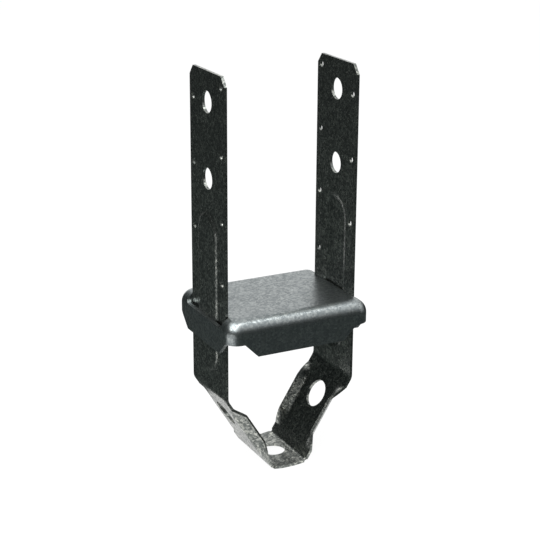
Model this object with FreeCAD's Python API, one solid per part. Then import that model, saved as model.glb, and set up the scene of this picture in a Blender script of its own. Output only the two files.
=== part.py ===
import FreeCAD, Part
import math
import os

# Timber post base for casting into concrete: a folded strap that grips the post, and a drawn pan
# threaded onto its legs that holds the post's end clear of the slab.
# Frame: X across the gap between the legs, Y across the strap, Z up.
# The origin is the middle of the strap's bottom pad, on its underside.  Millimetres and degrees.

V = FreeCAD.Vector

# ---- Strap: one folded strip of sheet ---------------------------------------------------------
POST_GAP = 91.0             # clear distance between the legs
STRAP_THICKNESS = 1.9
STRAP_WIDTH = 51.5
SEAT_HEIGHT = 116.6         # top of the pan above the underside of the bottom pad
LEG_RISE = 154.2            # leg ends above the top of the pan
LEG_CLIP_ACROSS = 5.0       # clipped leg corners, along the strap's width
LEG_CLIP_DOWN = 6.2         # clipped leg corners, along the strap's length

BEND_DROP = 60.0            # outer corner of the upper bend below the top of the pan
PAD_LENGTH = 25.853         # bottom pad over the outer corners of its two bends
UPPER_BEND_RADIUS = 8.0     # outside radii of the two kinds of bend
LOWER_BEND_RADIUS = 5.0
PAD_FLAT = 10.0             # level middle of the bottom pad
PAD_SAG = 1.0               # the pad's ends lie this much above its middle
PAD_SAG_RADIUS = 25.0       # outside radius where the pad starts to rise

# ---- Holes in the strap -----------------------------------------------------------------------
BOLT_DIAMETER = 14.3
BOLT_TOP_INSET = 19.7       # upper bolt hole below the leg's end
BOLT_PITCH = 49.4
NAIL_DIAMETER = 4.3
NAIL_EDGE_INSET = 5.1       # nail hole centre from the strap's edge
NAIL_PITCH = 43.0
LAST_NAIL_LIFT = 2.0        # lowest hole of the four-hole row is drawn up, clear of the pan
LONG_ROW_INSET = 7.0        # first nail hole of the four-hole row below the leg's end
SHORT_ROW_INSET = 19.6      # first nail hole of the three-hole row below the leg's end
LONG_ROW_COUNT = 4
SHORT_ROW_COUNT = 3
ARM_HOLE_DIAMETER = 19.2    # lets concrete flow through the arm
ARM_HOLE_DISTANCE = 23.2    # its centre along the arm from the upper bend's outer corner
PAD_HOLE_DIAMETER = 17.5
NOTCH_RADIUS = 1.3          # relief notches in the strap's edges at the lower bends

# ---- Stiffening bead pressed outwards in each leg ---------------------------------------------
BEAD_WIDTH = 32.0           # over its two feet
BEAD_CREST_WIDTH = 22.0     # its flat crest
BEAD_HEIGHT = 1.4
BEAD_TOP = 64.5             # upper end above the top of the pan
BEAD_BOTTOM = 47.5          # lower end below the top of the pan

# ---- Turned-up edges that make each arm a shallow channel -------------------------------------
CHANNEL_EDGE = 9.55         # sheet in each turned-up edge, its bend included
CHANNEL_RADIUS = 4.0        # outside radius between floor and turned-up edge
CHANNEL_ANGLE = 43.0        # edge turned up from the floor
CHANNEL_DROP = 0.3          # floor pressed out of the V from the line of the plain ends
CHANNEL_INSET = 8.0         # plain strip left beside each bend's outer corner
CHANNEL_RUNOUT = 12.0       # length over which the edges rise or fade

# ---- Pan: one drawn and pierced plate ---------------------------------------------------------
PAN_THICKNESS = 2.5
PAN_DEPTH = 24.6            # top face down to the flanges' lower edges
PAN_LENGTH = 82.4           # over the front and back flanges
PAN_EDGE_RADIUS = 9.0       # outside radius of the drawn edges and of the ball corners
SKIRT_DEPTH = 15.2          # the corners reach down this far
FRONT_FLANGE_WIDTH = 62.8   # lower edge of the front and back flanges
SIDE_FLANGE_WIDTH = 49.2    # lower edge of the two side flanges
SKIRT_BLEND = 1.5           # inside corner where a flange leaves the skirt
SLOT_DROP = 6.9             # top of the pan down to the slot's lower edge
SLOT_END_GAP = 1.3          # slot beyond each edge of the strap
SLOT_CORNER = 3.5           # rounded lower corners of the slot
BEAD_SEAT_GAP = 0.1         # bead's crest to the pan at the slot's lower edge

# ---- Derived places ---------------------------------------------------------------------------
INNER_FACE = POST_GAP / 2
OUTER_FACE = INNER_FACE + STRAP_THICKNESS
LEG_TOP = SEAT_HEIGHT + LEG_RISE
HALF_WIDTH = STRAP_WIDTH / 2
UPPER_CORNER = V(OUTER_FACE, 0, SEAT_HEIGHT - BEND_DROP)
LOWER_CORNER = V(PAD_LENGTH / 2, 0, PAD_SAG)
ARM_LENGTH = UPPER_CORNER.distanceToPoint(LOWER_CORNER)
ARM_DOWN = (LOWER_CORNER - UPPER_CORNER).normalize()    # along the right arm, towards the pad
ARM_INWARD = V(ARM_DOWN.z, 0, -ARM_DOWN.x)              # across its sheet, into the V
CHANNEL_TURN = math.radians(CHANNEL_ANGLE)
CHANNEL_FLOOR = STRAP_WIDTH - 2 * CHANNEL_EDGE

PAN_BORE_RADIUS = PAN_EDGE_RADIUS - PAN_THICKNESS
LIP_SETBACK = PAN_BORE_RADIUS - math.sqrt(PAN_BORE_RADIUS**2 - (PAN_EDGE_RADIUS - SLOT_DROP)**2)
PAN_HALF_X = OUTER_FACE + BEAD_HEIGHT + BEAD_SEAT_GAP + LIP_SETBACK + PAN_THICKNESS
PAN_HALF_Y = PAN_LENGTH / 2


def turned(shape):
    """The same shape for the other leg: half a turn about Z."""
    other = shape.copy()
    other.rotate(V(0, 0, 0), V(0, 0, 1), 180)
    return other


def rounded_path(points, radii):
    """A wire through points, each inner point rounded by its own radius."""
    edges = []
    start = points[0]
    for before, corner, after, radius in zip(points, points[1:], points[2:], radii):
        back = (before - corner).normalize()
        ahead = (after - corner).normalize()
        half_angle = back.getAngle(ahead) / 2
        tangent = radius / math.tan(half_angle)
        enter = corner + back * tangent
        leave = corner + ahead * tangent
        middle_way = (back + ahead).normalize()
        middle = corner + middle_way * (radius / math.sin(half_angle) - radius)
        if start.distanceToPoint(enter) > 1e-6:
            edges.append(Part.makeLine(start, enter))
        edges.append(Part.Arc(enter, middle, leave).toShape())
        start = leave
    edges.append(Part.makeLine(start, points[-1]))
    return edges


def inner_line(points):
    """The other face of the sheet: an open line in the XZ plane, set over by the sheet's thickness.

    The sheet lies to the left of the line's direction as seen along +Y.
    """
    sides = []
    for start, end in zip(points, points[1:]):
        along = (end - start).normalize()
        sides.append(V(along.z, 0, -along.x))
    moved = [points[0] + sides[0] * STRAP_THICKNESS]
    for corner, before, after in zip(points[1:], sides, sides[1:]):
        middle_way = (before + after).normalize()
        moved.append(corner + middle_way * (STRAP_THICKNESS / math.cos(before.getAngle(after) / 2)))
    moved.append(points[-1] + sides[-1] * STRAP_THICKNESS)
    return moved


def folded_strip(outer_points, outer_radii):
    """Sheet of the strap's width whose outer face follows the points, each corner with its radius."""
    inner_points = inner_line(outer_points)
    inner_radii = [radius - STRAP_THICKNESS for radius in outer_radii]
    outline = rounded_path(outer_points, outer_radii) + rounded_path(inner_points, inner_radii)
    outline.append(Part.makeLine(outer_points[-1], inner_points[-1]))
    outline.append(Part.makeLine(inner_points[0], outer_points[0]))
    face = Part.Face(Part.Wire(Part.__sortEdges__(outline)))
    face.translate(V(0, -HALF_WIDTH, 0))
    return face.extrude(V(0, STRAP_WIDTH, 0))


def upper_strip():
    """Right leg, upper bend and the plain start of the arm."""
    arm_start = UPPER_CORNER + ARM_DOWN * CHANNEL_INSET
    return folded_strip([V(OUTER_FACE, 0, LEG_TOP), UPPER_CORNER, arm_start], [UPPER_BEND_RADIUS])


def lower_strip():
    """Plain ends of both arms, the two lower bends and the bottom pad with its slight sag."""
    arm_end = LOWER_CORNER - ARM_DOWN * CHANNEL_INSET
    right = [arm_end, LOWER_CORNER, V(PAD_FLAT / 2, 0, 0)]
    left = [V(-point.x, 0, point.z) for point in reversed(right)]
    radii = [LOWER_BEND_RADIUS, PAD_SAG_RADIUS, PAD_SAG_RADIUS, LOWER_BEND_RADIUS]
    return folded_strip(right + left, radii)


def channel_side(share, offset):
    """Half of the arm's section as (y, height) places, from the floor's edge to the free edge.

    share is how far the channel is formed: 0 is flat sheet, 1 the full channel.  The middle of the
    sheet keeps its length, and offset is measured from it, towards the inside of the channel.
    The places are the floor's edge, the middle and end of the bend, and the free edge.
    """
    mid_radius = CHANNEL_RADIUS - STRAP_THICKNESS / 2
    bend_length = mid_radius * CHANNEL_TURN
    turn = CHANNEL_TURN * share
    places = []
    for part in (0, 0.5, 1):
        angle = turn * part
        if share > 0:
            radius = bend_length / turn
            y = radius * math.sin(angle)
            height = radius * (1 - math.cos(angle))
        else:
            y = bend_length * part
            height = 0
        places.append((y - offset * math.sin(angle), height + offset * math.cos(angle)))
    straight = CHANNEL_EDGE - bend_length
    end_y, end_height = places[-1]
    places.append((end_y + straight * math.cos(turn), end_height + straight * math.sin(turn)))
    return [(CHANNEL_FLOOR / 2 + y, height) for y, height in places]


def channel_section(distance, share):
    """Closed outline of the sheet across the right arm, at a distance from the upper corner."""
    lift = STRAP_THICKNESS / 2 - CHANNEL_DROP * share
    base = UPPER_CORNER + ARM_DOWN * distance + ARM_INWARD * lift

    def placed(side, y, height):
        return base + V(0, side * y, 0) + ARM_INWARD * height

    faces = []
    for offset in (-STRAP_THICKNESS / 2, STRAP_THICKNESS / 2):
        places = channel_side(share, offset)
        right = [placed(1, *place) for place in places]
        left = [placed(-1, *place) for place in places]
        faces.append((left, right))

    def bend(points):
        if share > 0:
            return Part.Arc(points[0], points[1], points[2]).toShape()
        return Part.makeLine(points[0], points[2])

    (under_left, under_right), (upper_left, upper_right) = faces
    edges = [Part.makeLine(under_left[0], under_right[0]),
             bend(under_right[:3]),
             Part.makeLine(under_right[2], under_right[3]),
             Part.makeLine(under_right[3], upper_right[3]),
             Part.makeLine(upper_right[3], upper_right[2]),
             bend(upper_right[2::-1]),
             Part.makeLine(upper_right[0], upper_left[0]),
             bend(upper_left[:3]),
             Part.makeLine(upper_left[2], upper_left[3]),
             Part.makeLine(upper_left[3], under_left[3]),
             Part.makeLine(under_left[3], under_left[2]),
             bend(under_left[2::-1])]
    return Part.Wire(edges)


def ease(share):
    """Smooth rise from 0 to 1 with level ends."""
    return share * share * (3 - 2 * share)


def channel_arm():
    """The right arm between its two plain ends: edges rise, stay up, then fade."""
    steps = 2
    first = CHANNEL_INSET
    last = ARM_LENGTH - CHANNEL_INSET
    rise = [(CHANNEL_RUNOUT * k / steps, ease(k / steps)) for k in range(steps + 1)]
    run_in = Part.makeLoft([channel_section(first + place, share) for place, share in rise], True)
    run_out = Part.makeLoft([channel_section(last - place, share) for place, share in reversed(rise)], True)
    full = Part.Face(channel_section(first + CHANNEL_RUNOUT, 1))
    middle = full.extrude(ARM_DOWN * (last - first - 2 * CHANNEL_RUNOUT))
    return [run_in, middle, run_out]


def bead_outline(offset):
    """Half of the bead's section as (y, height) places: foot, middle and crest of its S-shaped wall.

    Two equal arcs join the foot to the crest; offset moves the line into the sheet.
    """
    foot = BEAD_WIDTH / 2
    crest = BEAD_CREST_WIDTH / 2
    run = foot - crest
    radius = (run**2 + BEAD_HEIGHT**2) / (4 * BEAD_HEIGHT)
    sweep = math.asin(run / 2 / radius)
    low = (foot, radius)
    high = (crest, BEAD_HEIGHT - radius)

    def on_low(angle):
        reach = radius + offset
        return V(0, low[0] - reach * math.sin(angle), low[1] - reach * math.cos(angle))

    def on_high(angle):
        reach = radius - offset
        return V(0, high[0] + reach * math.sin(angle), high[1] + reach * math.cos(angle))

    return [on_low(0), on_low(sweep / 2), on_low(sweep), on_high(sweep / 2), on_high(0)]


def bead_face(mirrored):
    """The bead's section between its outer and inner lines, half or whole, in the YZ plane."""
    outer = bead_outline(0)
    inner = bead_outline(STRAP_THICKNESS)
    edges = []
    for line in (outer, inner):
        edges.append(Part.Arc(line[0], line[1], line[2]).toShape())
        edges.append(Part.Arc(line[2], line[3], line[4]).toShape())
    edges.append(Part.makeLine(outer[0], inner[0]))
    centre_out = V(0, 0, BEAD_HEIGHT)
    centre_in = V(0, 0, BEAD_HEIGHT - STRAP_THICKNESS)
    if not mirrored:
        edges.append(Part.makeLine(outer[-1], centre_out))
        edges.append(Part.makeLine(inner[-1], centre_in))
        edges.append(Part.makeLine(centre_out, centre_in))
        return Part.Face(Part.Wire(Part.__sortEdges__(edges)))
    flip = FreeCAD.Matrix()
    flip.scale(1, -1, 1)
    edges += [edge.transformGeometry(flip) for edge in edges]
    edges.append(Part.makeLine(outer[-1], V(0, -outer[-1].y, outer[-1].z)))
    edges.append(Part.makeLine(inner[-1], V(0, -inner[-1].y, inner[-1].z)))
    return Part.Face(Part.Wire(Part.__sortEdges__(edges)))


def bead():
    """The pressed bead with its two round ends, in place on the right leg."""
    length = BEAD_TOP + BEAD_BOTTOM - BEAD_WIDTH
    body = bead_face(True).extrude(V(length, 0, 0))
    near_end = bead_face(False).revolve(V(0, 0, 0), V(0, 0, 1), 180)
    far_end = bead_face(False).revolve(V(0, 0, 0), V(0, 0, 1), -180)
    far_end.translate(V(length, 0, 0))
    whole = body.fuse([near_end, far_end])
    # Height of the section becomes +X, its length becomes -Z.
    whole.rotate(V(0, 0, 0), V(0, 1, 0), 90)
    whole.translate(V(OUTER_FACE, 0, SEAT_HEIGHT + BEAD_TOP - BEAD_WIDTH / 2))
    return whole


def bead_window():
    """The round-ended piece of flat leg that the bead takes the place of."""
    radius = BEAD_WIDTH / 2
    top = SEAT_HEIGHT + BEAD_TOP - radius
    bottom = SEAT_HEIGHT - BEAD_BOTTOM + radius
    depth = 3 * STRAP_THICKNESS
    start_x = INNER_FACE - STRAP_THICKNESS
    body = Part.makeBox(depth, BEAD_WIDTH, top - bottom, V(start_x, -radius, bottom))
    ends = [Part.makeCylinder(radius, depth, V(start_x, 0, z), V(1, 0, 0)) for z in (top, bottom)]
    return body.fuse(ends)


def leg_drilling(height, y, diameter):
    """A hole straight through the right leg."""
    base = V(INNER_FACE - STRAP_THICKNESS, y, height)
    return Part.makeCylinder(diameter / 2, 3 * STRAP_THICKNESS, base, V(1, 0, 0))


def leg_cuts():
    """Clipped corners, bolt holes and staggered nail holes of the right leg."""
    cuts = []
    for side in (-1, 1):
        corner = [V(0, side * (HALF_WIDTH - LEG_CLIP_ACROSS), LEG_TOP),
                  V(0, side * HALF_WIDTH, LEG_TOP - LEG_CLIP_DOWN),
                  V(0, side * (HALF_WIDTH + 1), LEG_TOP - LEG_CLIP_DOWN),
                  V(0, side * (HALF_WIDTH + 1), LEG_TOP + 1),
                  V(0, side * (HALF_WIDTH - LEG_CLIP_ACROSS), LEG_TOP + 1)]
        face = Part.Face(Part.makePolygon(corner + corner[:1]))
        face.translate(V(INNER_FACE - 1, 0, 0))
        cuts.append(face.extrude(V(STRAP_THICKNESS + 2, 0, 0)))
    for k in range(2):
        cuts.append(leg_drilling(LEG_TOP - BOLT_TOP_INSET - k * BOLT_PITCH, 0, BOLT_DIAMETER))
    nail_y = HALF_WIDTH - NAIL_EDGE_INSET
    for count, inset, y in ((LONG_ROW_COUNT, LONG_ROW_INSET, nail_y),
                            (SHORT_ROW_COUNT, SHORT_ROW_INSET, -nail_y)):
        for k in range(count):
            height = LEG_TOP - inset - k * NAIL_PITCH
            if k == LONG_ROW_COUNT - 1:
                height += LAST_NAIL_LIFT
            cuts.append(leg_drilling(height, y, NAIL_DIAMETER))
    return cuts


def arm_cuts():
    """Concrete hole through the right arm, and the relief notches beside the lower bend."""
    centre = UPPER_CORNER + ARM_DOWN * ARM_HOLE_DISTANCE - ARM_INWARD * STRAP_THICKNESS
    cuts = [Part.makeCylinder(ARM_HOLE_DIAMETER / 2, 3 * STRAP_THICKNESS, centre, ARM_INWARD)]
    bisector = (ARM_INWARD + V(0, 0, 1)).normalize()
    for side in (-1, 1):
        foot = LOWER_CORNER + V(0, side * HALF_WIDTH, 0) - bisector * STRAP_THICKNESS
        cuts.append(Part.makeCylinder(NOTCH_RADIUS, 4 * STRAP_THICKNESS, foot, bisector))
    return cuts


def strap():
    """The whole folded strap."""
    one_side = [upper_strip().cut(bead_window()), bead()] + channel_arm()
    pieces = one_side + [turned(piece) for piece in one_side]
    body = lower_strip().fuse(pieces).removeSplitter()
    half_cuts = leg_cuts() + arm_cuts()
    cuts = half_cuts + [turned(cut) for cut in half_cuts]
    pad_start = V(0, 0, -STRAP_THICKNESS)
    cuts.append(Part.makeCylinder(PAD_HOLE_DIAMETER / 2, 3 * STRAP_THICKNESS, pad_start))
    return body.cut(cuts)


def rounded_block(half_x, half_y, top, bottom, radius):
    """A block rounded along its top and its upright edges, with ball corners."""
    block = Part.makeBox(2 * half_x, 2 * half_y, top - bottom, V(-half_x, -half_y, bottom))
    edges = [edge for edge in block.Edges if edge.BoundBox.ZMax > top - radius]
    return block.makeFillet(radius, edges)


def flange_profile(half_reach, flange_width):
    """Outline seen square to one pair of flanges: skirt on both sides, flange with clipped ends."""
    clip = PAN_DEPTH - SKIRT_DEPTH
    half = flange_width / 2
    above = SEAT_HEIGHT + 1
    skirt = SEAT_HEIGHT - SKIRT_DEPTH
    lower = SEAT_HEIGHT - PAN_DEPTH
    reach = half_reach + 1
    points = [V(-reach, 0, above), V(-reach, 0, skirt), V(-half - clip, 0, skirt), V(-half, 0, lower),
              V(half, 0, lower), V(half + clip, 0, skirt), V(reach, 0, skirt), V(reach, 0, above)]
    sharp = [Part.makeLine(points[0], points[1])]
    left = rounded_path(points[1:4], [SKIRT_BLEND])
    right = rounded_path(points[4:7], [SKIRT_BLEND])
    base = [Part.makeLine(points[3], points[4])]
    close = [Part.makeLine(points[6], points[7]), Part.makeLine(points[7], points[0])]
    return Part.Face(Part.Wire(Part.__sortEdges__(sharp + left + base + right + close)))


def flange_trim():
    """Everything the pan's blank covers, seen from the front and from the side."""
    front = flange_profile(PAN_HALF_X, FRONT_FLANGE_WIDTH)
    front.translate(V(0, -PAN_HALF_Y - 1, 0))
    front = front.extrude(V(0, 2 * PAN_HALF_Y + 2, 0))
    side = flange_profile(PAN_HALF_Y, SIDE_FLANGE_WIDTH)
    side.rotate(V(0, 0, 0), V(0, 0, 1), 90)
    side.translate(V(-PAN_HALF_X - 1, 0, 0))
    side = side.extrude(V(2 * PAN_HALF_X + 2, 0, 0))
    return front.fuse(side)


def strap_slot():
    """Opening in the right side of the pan that the leg passes through."""
    half = HALF_WIDTH + SLOT_END_GAP
    reach = PAN_HALF_X - INNER_FACE + 1
    bottom = SEAT_HEIGHT - SLOT_DROP
    block = Part.makeBox(reach, 2 * half, SLOT_DROP + 1, V(INNER_FACE, -half, bottom))
    corners = [e for e in block.Edges
               if abs(e.tangentAt(e.FirstParameter).x) > 0.9 and e.BoundBox.ZMax < bottom + 1e-6]
    return block.makeFillet(SLOT_CORNER, corners)


def pan():
    """The drawn pan that the post's end stands on."""
    bottom = SEAT_HEIGHT - PAN_DEPTH
    outside = rounded_block(PAN_HALF_X, PAN_HALF_Y, SEAT_HEIGHT, bottom, PAN_EDGE_RADIUS)
    hollow = rounded_block(PAN_HALF_X - PAN_THICKNESS, PAN_HALF_Y - PAN_THICKNESS,
                           SEAT_HEIGHT - PAN_THICKNESS, bottom - 1, PAN_BORE_RADIUS)
    shell = outside.cut(hollow).common(flange_trim())
    slot = strap_slot()
    return shell.cut([slot, turned(slot)])


def main():
    os.makedirs("parts", exist_ok=True)
    nodes = {"strap": strap(), "standoff_pan": pan()}
    for name, shape in nodes.items():
        solid = shape.Solids[0] if len(shape.Solids) == 1 else shape
        print(name, "solids", len(shape.Solids), "valid", shape.isValid(), "volume", round(shape.Volume, 1),
              "box", [round(v, 2) for v in (shape.BoundBox.XLength, shape.BoundBox.YLength, shape.BoundBox.ZLength)])
        solid.exportStep("parts/" + name + ".step")


main()
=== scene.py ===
import math

import bpy
import mathutils
import numpy as np
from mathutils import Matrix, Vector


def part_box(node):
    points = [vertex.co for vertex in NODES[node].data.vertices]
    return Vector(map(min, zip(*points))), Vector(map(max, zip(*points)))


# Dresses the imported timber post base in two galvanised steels, and sets it in a white studio with black
# cloths and a camera.
# Units are metres in the row frame: X across the post gap, Y across the strap, Z up.

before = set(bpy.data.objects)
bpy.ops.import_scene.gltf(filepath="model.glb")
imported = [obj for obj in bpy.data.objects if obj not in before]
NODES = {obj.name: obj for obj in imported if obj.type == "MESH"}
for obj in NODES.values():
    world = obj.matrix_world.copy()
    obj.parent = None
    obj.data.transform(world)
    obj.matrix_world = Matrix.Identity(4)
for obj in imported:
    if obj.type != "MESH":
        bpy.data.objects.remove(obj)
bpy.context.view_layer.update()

STRAP_LOW, STRAP_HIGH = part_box("strap")

# Camera: lens and sensor in millimetres, aim in degrees, place in metres, shift in frame widths.
LENS_LENGTH = 96.6467
SENSOR_WIDTH = 36.0
CAMERA_AZIMUTH = 26.96
CAMERA_ELEVATION = 19.30
CAMERA_ROLL = 0.26
CAMERA_PLACE = (-0.4156, -0.8087, 0.4461)
CAMERA_SHIFT = (0.0044, 0.0144)
NEAREST_VIEW = 0.05

# Zinc coat: the mottle of its crystals, in metres and in counts per metre, and the shares of its tone.
CRYSTAL_SIZE = 0.0014
SPECKS_PER_CRYSTAL = 1.5
CLOUDS_PER_METRE = 110.0
STREAKS_PER_METRE = (520.0, 520.0, 24.0)
CRYSTAL_SHARE = 0.35
SPECK_SHARE = 0.40
CLOUD_SHARE = 0.25

# Zinc coat: tones at which the dark, middle and light colours stand, and how far streaks and gloss vary.
DARK_TONE = 0.38
MIDDLE_TONE = 0.55
LIGHT_TONE = 0.74
STREAK_TONES = (0.35, 0.65)
STREAK_DARKEST = 0.80
STREAK_SHARE = 0.7
GLOSS_TONES = (0.30, 0.70)
GLOSS_SWING = 0.06

# Painted highlight along every edge of the sheet: width of the bright line in metres, and how sharply it
# ends.
EDGE_WIDTH = 0.00025
EDGE_SHARPNESS = 4.0

# The two galvanised steels: linear colours, the colour of the painted edge highlight, roughness, and
# height of the crystals in metres.
STRAP_DARK = (0.135, 0.147, 0.140)
STRAP_MID = (0.288, 0.303, 0.285)
STRAP_LIGHT = (0.66, 0.67, 0.61)
# Colour of the painted highlight along the strap's edges and hole rims.
STRAP_EDGE_HIGHLIGHT = (0.42, 0.43, 0.40)
STRAP_ROUGHNESS = 0.32
STRAP_RELIEF = 0.00009
PAN_DARK = (0.222, 0.247, 0.253)
PAN_MID = (0.318, 0.346, 0.348)
PAN_LIGHT = (0.444, 0.476, 0.470)
# Colour of the painted highlight along the pan's edges and hole rims.
PAN_EDGE_HIGHLIGHT = (0.48, 0.50, 0.48)
PAN_ROUGHNESS = 0.34
PAN_RELIEF = 0.00003

# Studio: light levels, colours, and sizes in metres.
WHITE = (1.0, 1.0, 1.0, 1.0)
ROOM_LIGHT = 0.6
FLOOR_SIZE = 60.0
FLOOR_COLOUR = (0.12, 0.12, 0.12)
FLOOR_GLOW = 0.93
CLOTH_COLOUR = (0.054, 0.063, 0.061)
CLOTH_FADED = (0.9, 0.9, 0.9)
CLOTH_STEPS = 31

# Cloths on the floor: from and to in degrees of turn, near and far edge in metres.  They lie far below
# the height at which they would start to fade.
FLOOR_CLOTHS = (
    (-128.0, 170.0, 0.09, 0.30),
    (92.0, 170.0, 0.30, 6.0),
    (-128.0, 60.0, 0.30, 6.0),
)
FLOOR_CLOTH_LIFT = 0.001
FLOOR_CLOTH_TOP = 1.0
FLOOR_CLOTH_SOLID = 0.5

# Hung cloths: from and to in degrees of turn, top in metres, share of the height that is solid black.
HUNG_CLOTHS = (
    (95.0, 185.0, 1.10, 0.80),
    (185.0, 235.0, 0.80, 0.80),
    (235.0, 340.0, 0.95, 0.45),
    (340.0, 395.0, 0.60, 0.60),
)
HUNG_CLOTH_REACH = 1.2

# Lamps: name, place and size in metres, power in watts.
LAMPS = (
    ("left_softbox", (-0.50, -0.30, 0.95), (1.1, 1.1), 13.5),
    ("overhead_strip", (0.26, -0.22, 1.05), (0.4, 0.2), 1.3),
    ("fill", (0.9, -0.5, 0.5), (0.6, 0.8), 1.0),
)


# ---- Node helpers -----------------------------------------------------------------------------

def add_node(tree, kind, **settings):
    """A new shader node with its properties and unlinked inputs set."""
    node = tree.nodes.new(kind)
    for name, value in settings.pop("inputs", {}).items():
        node.inputs[name].default_value = value
    for name, value in settings.items():
        setattr(node, name, value)
    return node


def join(tree, source, target):
    """Links one socket to another."""
    tree.links.new(source, target)


def ramp(tree, value, stops, smooth=False):
    """A colour ramp over value; stops are (place, colour or grey)."""
    stops = list(stops)
    node = tree.nodes.new("ShaderNodeValToRGB")
    node.color_ramp.interpolation = "EASE" if smooth else "LINEAR"
    elements = node.color_ramp.elements
    while len(elements) < len(stops):
        elements.new(0.5)
    for element, (place, colour) in zip(elements, stops):
        element.position = place
        grey = not isinstance(colour, tuple)
        element.color = (colour, colour, colour, 1.0) if grey else (*colour, 1.0)
    join(tree, value, node.inputs["Fac"])
    return node.outputs["Color"]


def arithmetic(tree, operation, first, second=None):
    """A math node; numbers are set on the sockets and sockets are linked."""
    node = add_node(tree, "ShaderNodeMath", operation=operation)
    for socket, value in zip(node.inputs, (first, second)):
        if value is None:
            continue
        if isinstance(value, (int, float)):
            socket.default_value = value
        else:
            join(tree, value, socket)
    return node.outputs["Value"]


def blend_colour(tree, mode, share, first, second):
    """A colour mix; share, first and second may be sockets or constants."""
    node = add_node(tree, "ShaderNodeMix", data_type="RGBA", blend_type=mode, clamp_result=True)
    # The Mix node has sockets for every data type: 6 and 7 take its colours, and output 2 gives one.
    sockets = (node.inputs[0], node.inputs[6], node.inputs[7])
    for socket, value in zip(sockets, (share, first, second)):
        if isinstance(value, (int, float)):
            socket.default_value = value
        elif isinstance(value, tuple):
            socket.default_value = (*value, 1.0)
        else:
            join(tree, value, socket)
    return node.outputs[2]


# ---- Galvanised steel -------------------------------------------------------------------------

def spangle_group():
    """Shared effect: the look of a zinc coat over the sheet.

    Tone is a mottle around 0.5: flat random cells of CRYSTAL_SIZE, fine grain, and broad clouds.
    Streak is noise drawn out along Z.  Height is a hilly field whose hills are a crystal wide, so
    that each crystal turns a little its own way.
    """
    group = bpy.data.node_groups.new("zinc_spangle", "ShaderNodeTree")
    face = group.interface
    face.new_socket("Position", in_out="INPUT", socket_type="NodeSocketVector")
    for name in ("Tone", "Streak", "Height"):
        face.new_socket(name, in_out="OUTPUT", socket_type="NodeSocketFloat")
    entry = group.nodes.new("NodeGroupInput")
    leave = group.nodes.new("NodeGroupOutput")

    cells = 1.0 / CRYSTAL_SIZE
    grains = add_node(group, "ShaderNodeTexVoronoi", feature="F1",
                      inputs={"Scale": cells, "Randomness": 1.0})
    specks = add_node(group, "ShaderNodeTexNoise",
                      inputs={"Scale": SPECKS_PER_CRYSTAL * cells, "Detail": 2.0, "Roughness": 0.6})
    hills = add_node(group, "ShaderNodeTexNoise", inputs={"Scale": cells, "Detail": 0.0})
    clouds = add_node(group, "ShaderNodeTexNoise",
                      inputs={"Scale": CLOUDS_PER_METRE, "Detail": 3.0, "Roughness": 0.6})
    stretched = add_node(group, "ShaderNodeMapping", inputs={"Scale": STREAKS_PER_METRE})
    streaks = add_node(group, "ShaderNodeTexNoise",
                       inputs={"Scale": 1.0, "Detail": 3.0, "Roughness": 0.55})
    for node in (grains, specks, hills, clouds, stretched):
        join(group, entry.outputs["Position"], node.inputs["Vector"])
    join(group, stretched.outputs["Vector"], streaks.inputs["Vector"])

    grain_tone = add_node(group, "ShaderNodeSeparateColor")
    join(group, grains.outputs["Color"], grain_tone.inputs["Color"])
    crystals = arithmetic(group, "MULTIPLY", grain_tone.outputs[0], CRYSTAL_SHARE)
    fine = arithmetic(group, "MULTIPLY", specks.outputs[0], SPECK_SHARE)
    broad = arithmetic(group, "MULTIPLY", clouds.outputs[0], CLOUD_SHARE)
    tone = arithmetic(group, "ADD", arithmetic(group, "ADD", crystals, fine), broad)
    join(group, tone, leave.inputs["Tone"])
    join(group, streaks.outputs[0], leave.inputs["Streak"])
    join(group, hills.outputs[0], leave.inputs["Height"])
    return group


def edge_group():
    """Shared effect: the mask of the painted edge highlight, 1 along every edge of the sheet and 0 a
    little way from it.

    The rounded normal of the Bevel node leaves the face's own normal only near an edge; the mask
    is one less their dot product, times EDGE_SHARPNESS and held at 1.
    """
    group = bpy.data.node_groups.new("painted_edge_highlight", "ShaderNodeTree")
    group.interface.new_socket("Edge", in_out="OUTPUT", socket_type="NodeSocketFloat")
    leave = group.nodes.new("NodeGroupOutput")
    rounded = add_node(group, "ShaderNodeBevel", samples=6, inputs={"Radius": EDGE_WIDTH})
    surface = group.nodes.new("ShaderNodeNewGeometry")
    product = add_node(group, "ShaderNodeVectorMath", operation="DOT_PRODUCT")
    join(group, rounded.outputs[0], product.inputs[0])
    join(group, surface.outputs["Normal"], product.inputs[1])
    turned = arithmetic(group, "SUBTRACT", 1.0, product.outputs["Value"])
    edge = add_node(group, "ShaderNodeMath", operation="MULTIPLY", use_clamp=True)
    join(group, turned, edge.inputs[0])
    edge.inputs[1].default_value = EDGE_SHARPNESS
    join(group, edge.outputs[0], leave.inputs["Edge"])
    return group


SPANGLE = spangle_group()
EDGE = edge_group()


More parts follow.
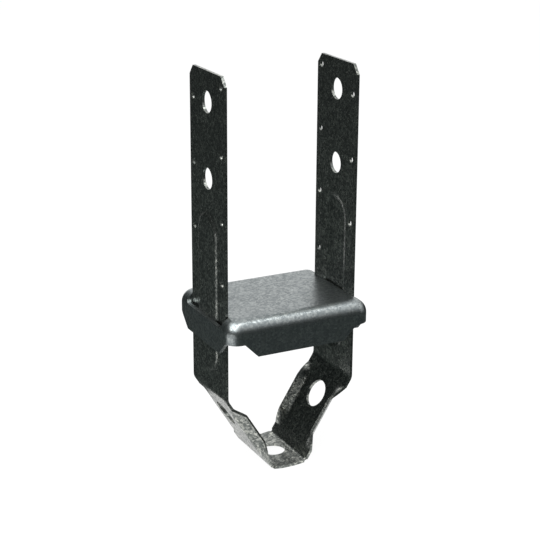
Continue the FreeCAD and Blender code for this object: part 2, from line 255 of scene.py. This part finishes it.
def galvanised(name, dark, mid, light, edge_highlight, roughness, relief):
    """Zinc-coated sheet of three tones and crystals of height relief; its edges get a painted highlight
    in the colour given after the three tones.
    """
    material = bpy.data.materials.new(name)
    material.use_nodes = True
    tree = material.node_tree
    shader = tree.nodes["Principled BSDF"]
    place = tree.nodes.new("ShaderNodeTexCoord")
    effect = add_node(tree, "ShaderNodeGroup", node_tree=SPANGLE)
    edge = add_node(tree, "ShaderNodeGroup", node_tree=EDGE)
    join(tree, place.outputs["Object"], effect.inputs["Position"])
    base = ramp(tree, effect.outputs["Tone"],
                [(DARK_TONE, dark), (MIDDLE_TONE, mid), (LIGHT_TONE, light)])
    streak = ramp(tree, effect.outputs["Streak"], zip(STREAK_TONES, (STREAK_DARKEST, 1.0)))
    coat = blend_colour(tree, "MULTIPLY", STREAK_SHARE, base, streak)
    # The painted edge highlight is mixed over the coat's colour along every edge.
    colour = blend_colour(tree, "MIX", edge.outputs["Edge"], coat, edge_highlight)
    join(tree, colour, shader.inputs["Base Color"])
    shader.inputs["Metallic"].default_value = 1.0
    gloss = ramp(tree, effect.outputs["Tone"],
                 zip(GLOSS_TONES, (roughness + GLOSS_SWING, roughness - GLOSS_SWING)))
    join(tree, gloss, shader.inputs["Roughness"])
    bump = add_node(tree, "ShaderNodeBump", inputs={"Strength": 1.0, "Distance": relief})
    join(tree, effect.outputs["Height"], bump.inputs["Height"])
    join(tree, bump.outputs["Normal"], shader.inputs["Normal"])
    return material


def dress(node_name, material):
    """Gives a CAD node its material in every slot it has."""
    mesh = NODES[node_name].data
    if not mesh.materials:
        mesh.materials.append(material)
    for index in range(len(mesh.materials)):
        mesh.materials[index] = material


dress("strap", galvanised("galvanised_strap", STRAP_DARK, STRAP_MID, STRAP_LIGHT, STRAP_EDGE_HIGHLIGHT,
                          STRAP_ROUGHNESS, STRAP_RELIEF))
dress("standoff_pan", galvanised("galvanised_pan", PAN_DARK, PAN_MID, PAN_LIGHT, PAN_EDGE_HIGHLIGHT,
                                 PAN_ROUGHNESS, PAN_RELIEF))


# ---- Studio -----------------------------------------------------------------------------------

def grid_object(name, points):
    """An object of quads over a (rows, columns, 3) array of points."""
    rows, columns = points.shape[:2]
    index = np.arange(rows * columns).reshape(rows, columns)
    quads = np.stack([index[:-1, :-1], index[1:, :-1], index[1:, 1:], index[:-1, 1:]], axis=-1)
    mesh = bpy.data.meshes.new(name)
    mesh.from_pydata(points.reshape(-1, 3).tolist(), [], quads.reshape(-1, 4).tolist())
    made = bpy.data.objects.new(name, mesh)
    bpy.context.scene.collection.objects.link(made)
    return made


def area_lamp(name, place, target, size, power):
    """A rectangular white lamp at place, facing target."""
    data = bpy.data.lights.new(name, "AREA")
    data.shape = "RECTANGLE"
    data.size, data.size_y = size
    data.energy = power
    lamp = bpy.data.objects.new(name, data)
    bpy.context.scene.collection.objects.link(lamp)
    away = mathutils.Vector(place) - mathutils.Vector(target)
    turn = away.to_track_quat("Z", "Y").to_matrix().to_4x4()
    lamp.matrix_world = mathutils.Matrix.Translation(place) @ turn


def background_rays(tree):
    """1 for the rays that show the background: camera, glossy and transmission rays."""
    rays = tree.nodes.new("ShaderNodeLightPath")
    seen = arithmetic(tree, "MAXIMUM", rays.outputs["Is Camera Ray"], rays.outputs["Is Glossy Ray"])
    return arithmetic(tree, "MAXIMUM", seen, rays.outputs["Is Transmission Ray"])


def studio_world():
    """A white background, also in the metal, and a plain soft room for all other light."""
    world = bpy.data.worlds.new("studio")
    bpy.context.scene.world = world
    world.use_nodes = True
    tree = world.node_tree
    tree.nodes.clear()
    out = tree.nodes.new("ShaderNodeOutputWorld")
    seen = add_node(tree, "ShaderNodeBackground", inputs={"Color": WHITE, "Strength": 1.0})
    room = add_node(tree, "ShaderNodeBackground", inputs={"Color": WHITE, "Strength": ROOM_LIGHT})
    choose = tree.nodes.new("ShaderNodeMixShader")
    join(tree, background_rays(tree), choose.inputs[0])
    join(tree, room.outputs[0], choose.inputs[1])
    join(tree, seen.outputs[0], choose.inputs[2])
    join(tree, choose.outputs[0], out.inputs["Surface"])


def studio_floor():
    """A pale floor under the bottom pad: white in view, with the part's soft shadow on it."""
    half = FLOOR_SIZE / 2
    corners = np.array([[(-half, -half, 0.0), (half, -half, 0.0)],
                        [(-half, half, 0.0), (half, half, 0.0)]])
    floor = grid_object("floor", corners)
    material = bpy.data.materials.new("floor")
    material.use_nodes = True
    tree = material.node_tree
    tree.nodes.clear()
    out = tree.nodes.new("ShaderNodeOutputMaterial")
    matt = add_node(tree, "ShaderNodeBsdfDiffuse", inputs={"Color": (*FLOOR_COLOUR, 1.0)})
    glow = add_node(tree, "ShaderNodeEmission", inputs={"Color": WHITE})
    join(tree, arithmetic(tree, "MULTIPLY", background_rays(tree), FLOOR_GLOW), glow.inputs["Strength"])
    both = tree.nodes.new("ShaderNodeAddShader")
    join(tree, matt.outputs[0], both.inputs[0])
    join(tree, glow.outputs[0], both.inputs[1])
    join(tree, both.outputs[0], out.inputs["Surface"])
    floor.data.materials.append(material)


def keep_for_reflections(sheet):
    """Marks a sheet as studio gear that only the metal's reflections show."""
    sheet.visible_camera = False
    sheet.visible_diffuse = False
    sheet.visible_transmission = False
    sheet.visible_shadow = False


def black_cloth(name, points, top, solid_share):
    """Black cloth that only reflections show, as it is set round bright metal.

    It is black up to solid_share of the height top, and pales from there up.
    """
    cloth = grid_object(name, points)
    material = bpy.data.materials.new(name)
    material.use_nodes = True
    tree = material.node_tree
    shader = tree.nodes["Principled BSDF"]
    place = tree.nodes.new("ShaderNodeTexCoord")
    split = tree.nodes.new("ShaderNodeSeparateXYZ")
    join(tree, place.outputs["Object"], split.inputs["Vector"])
    share = arithmetic(tree, "DIVIDE", split.outputs["Z"], top)
    colour = ramp(tree, share, [(solid_share, CLOTH_COLOUR), (1.0, CLOTH_FADED)], smooth=True)
    join(tree, colour, shader.inputs["Base Color"])
    shader.inputs["Roughness"].default_value = 1.0
    shader.inputs["Specular IOR Level"].default_value = 0.0
    cloth.data.materials.append(material)
    keep_for_reflections(cloth)


def arc_points(turn, radius, height):
    """Points (radius cos turn, radius sin turn, height) over the grid of the three arrays, in metres."""
    x = radius * np.cos(turn)
    y = radius * np.sin(turn)
    return np.stack(np.broadcast_arrays(x, y, height), axis=-1)


def black_cloths():
    """Cloths laid on the floor and cloths hung upright, each over its own part of the turn."""
    for start, end, near, far in FLOOR_CLOTHS:
        turn = np.radians(np.linspace(start, end, CLOTH_STEPS))[None, :]
        reach = np.array([near, far])[:, None]
        laid = arc_points(turn, reach, FLOOR_CLOTH_LIFT)
        black_cloth("floor_cloth", laid, FLOOR_CLOTH_TOP, FLOOR_CLOTH_SOLID)
    for start, end, top, solid_share in HUNG_CLOTHS:
        turn = np.radians(np.linspace(start, end, CLOTH_STEPS))[None, :]
        height = np.array([0.0, top])[:, None]
        hung = arc_points(turn, HUNG_CLOTH_REACH, height)
        black_cloth("hung_cloth", hung, top, solid_share)


def studio_camera():
    """The camera, from its azimuth, elevation, roll and place."""
    azimuth = math.radians(CAMERA_AZIMUTH)
    elevation = math.radians(CAMERA_ELEVATION)
    roll = math.radians(CAMERA_ROLL)
    ahead = mathutils.Vector((math.sin(azimuth) * math.cos(elevation),
                              math.cos(azimuth) * math.cos(elevation), -math.sin(elevation)))
    level = mathutils.Vector((math.cos(azimuth), -math.sin(azimuth), 0.0))
    up = level.cross(ahead)
    right = level * math.cos(roll) + up * math.sin(roll)
    top = up * math.cos(roll) - level * math.sin(roll)
    turn = mathutils.Matrix((right, top, -ahead)).transposed()
    data = bpy.data.cameras.new("camera")
    data.sensor_width = SENSOR_WIDTH
    data.lens = LENS_LENGTH
    data.shift_x, data.shift_y = CAMERA_SHIFT
    data.clip_start = NEAREST_VIEW
    camera = bpy.data.objects.new("camera", data)
    bpy.context.scene.collection.objects.link(camera)
    camera.matrix_world = mathutils.Matrix.Translation(CAMERA_PLACE) @ turn.to_4x4()
    bpy.context.scene.camera = camera


studio_world()
studio_floor()
black_cloths()
studio_camera()
MIDDLE = tuple((low + high) / 2 for low, high in zip(STRAP_LOW, STRAP_HIGH))
for lamp_name, lamp_place, lamp_size, lamp_power in LAMPS:
    area_lamp(lamp_name, lamp_place, MIDDLE, lamp_size, lamp_power)

bpy.context.scene.view_settings.view_transform = "Standard"
